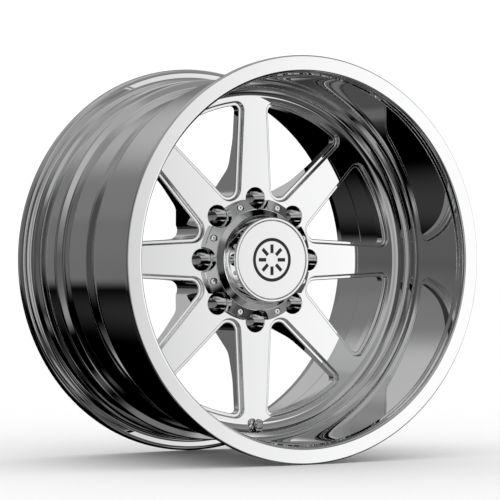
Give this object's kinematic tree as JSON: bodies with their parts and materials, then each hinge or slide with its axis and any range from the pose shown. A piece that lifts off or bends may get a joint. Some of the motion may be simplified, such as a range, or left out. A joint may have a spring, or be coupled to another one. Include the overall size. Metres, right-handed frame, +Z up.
{
  "type": "forged wheel rim",
  "caption": "Deep-lip forged alloy wheel rim with straight tapered spokes, bolt-on hub cap with a castellated base ring, and a metal clamp-in tyre valve.",
  "frame": {"origin": "centre of the rim: on the wheel's axis, midway between the outside faces of the two flanges", "axes": "+Y along the wheel's axis, from the outer face towards the vehicle; +Z up; the valve is at the bottom"},
  "size_m": [0.5473, 0.3296, 0.5474],
  "materials": {
    "polished_forging": "mirror polished",
    "weld_metal": "polished in front, as welded behind",
    "cap_chrome": "chrome plated",
    "brushed_plate": "fine satin",
    "black_enamel": "satin black inlay",
    "screw_steel": "bright",
    "spring_steel": "bright",
    "valve_chrome": "chrome plated brass",
    "valve_brass": "bare brass",
    "seal_rubber": "matt",
    "core_plastic": "matt"
  },
  "bodies": {
    "wheel": {"barrel": "polished_forging", "spoke_centre": "polished_forging", "weld_bead_front": "weld_metal", "weld_bead_rear": "weld_metal", "cap_base_ring": "cap_chrome", "cap_screws": "screw_steel", "cap_body": "cap_chrome", "cap_o_ring": "seal_rubber", "cap_snap_ring": "spring_steel", "cap_face_disc": "brushed_plate", "cap_emblem": "black_enamel", "valve_stem": "valve_chrome", "valve_inner_grommet": "seal_rubber", "valve_outer_grommet": "seal_rubber", "valve_washer": "valve_chrome", "valve_nut": "valve_chrome", "valve_core_housing": "valve_brass", "valve_core_gasket": "core_plastic", "valve_core_spring": "spring_steel"},
    "valve_plunger": {"valve_core_pin": "valve_brass", "valve_core_seal": "seal_rubber"},
    "valve_dust_cap": {"valve_cap": "valve_chrome", "valve_cap_seal": "seal_rubber"}
  },
  "joints": [
    {"name": "valve_core_press", "type": "slide", "parent": "wheel", "child": "valve_plunger", "axis": [0, 0.6157, -0.788], "range_m": [0, 0.0012], "stiffness_N_per_m": 1500, "springref_m": -0.001, "deforming": ["valve_core_spring"]},
    {"name": "valve_cap_off", "type": "slide", "parent": "wheel", "child": "valve_dust_cap", "axis": [0, -0.6157, 0.788], "range_m": [0, 0.012]}
  ]
}
